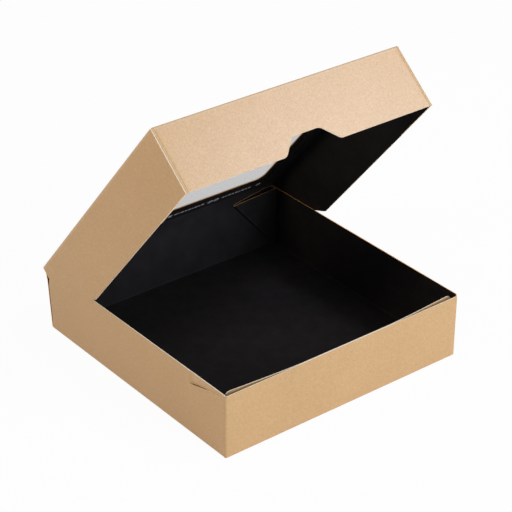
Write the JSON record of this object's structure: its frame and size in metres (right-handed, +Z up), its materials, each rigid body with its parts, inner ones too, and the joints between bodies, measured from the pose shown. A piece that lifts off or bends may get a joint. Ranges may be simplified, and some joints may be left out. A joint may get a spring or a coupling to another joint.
{
  "type": "pizza box",
  "caption": "Square folding food box of kraft board, black inside: shallow tray, deep hinged lid with a thumb notch and a film window in its roof.",
  "frame": {"origin": "centre of the tray's underside, on the surface that the box stands on", "axes": "+X to the box's right seen from the front, +Y to the hinge side, +Z up"},
  "size_m": [0.2588, 0.2599, 0.2624],
  "materials": {
    "kraft_board": "matte kraft outside, matte black print inside",
    "clear_film": "clear glossy film"
  },
  "bodies": {
    "tray": {"tray": "kraft_board"},
    "lid": {"lid": "kraft_board", "window_film": "clear_film"}
  },
  "joints": [
    {"name": "lid_hinge", "type": "hinge", "parent": "tray", "child": "lid", "pos_m": [0, 0.1325, 0.0622], "axis": [-1, 0, 0], "range_deg": [-50.3, 129.7]}
  ]
}
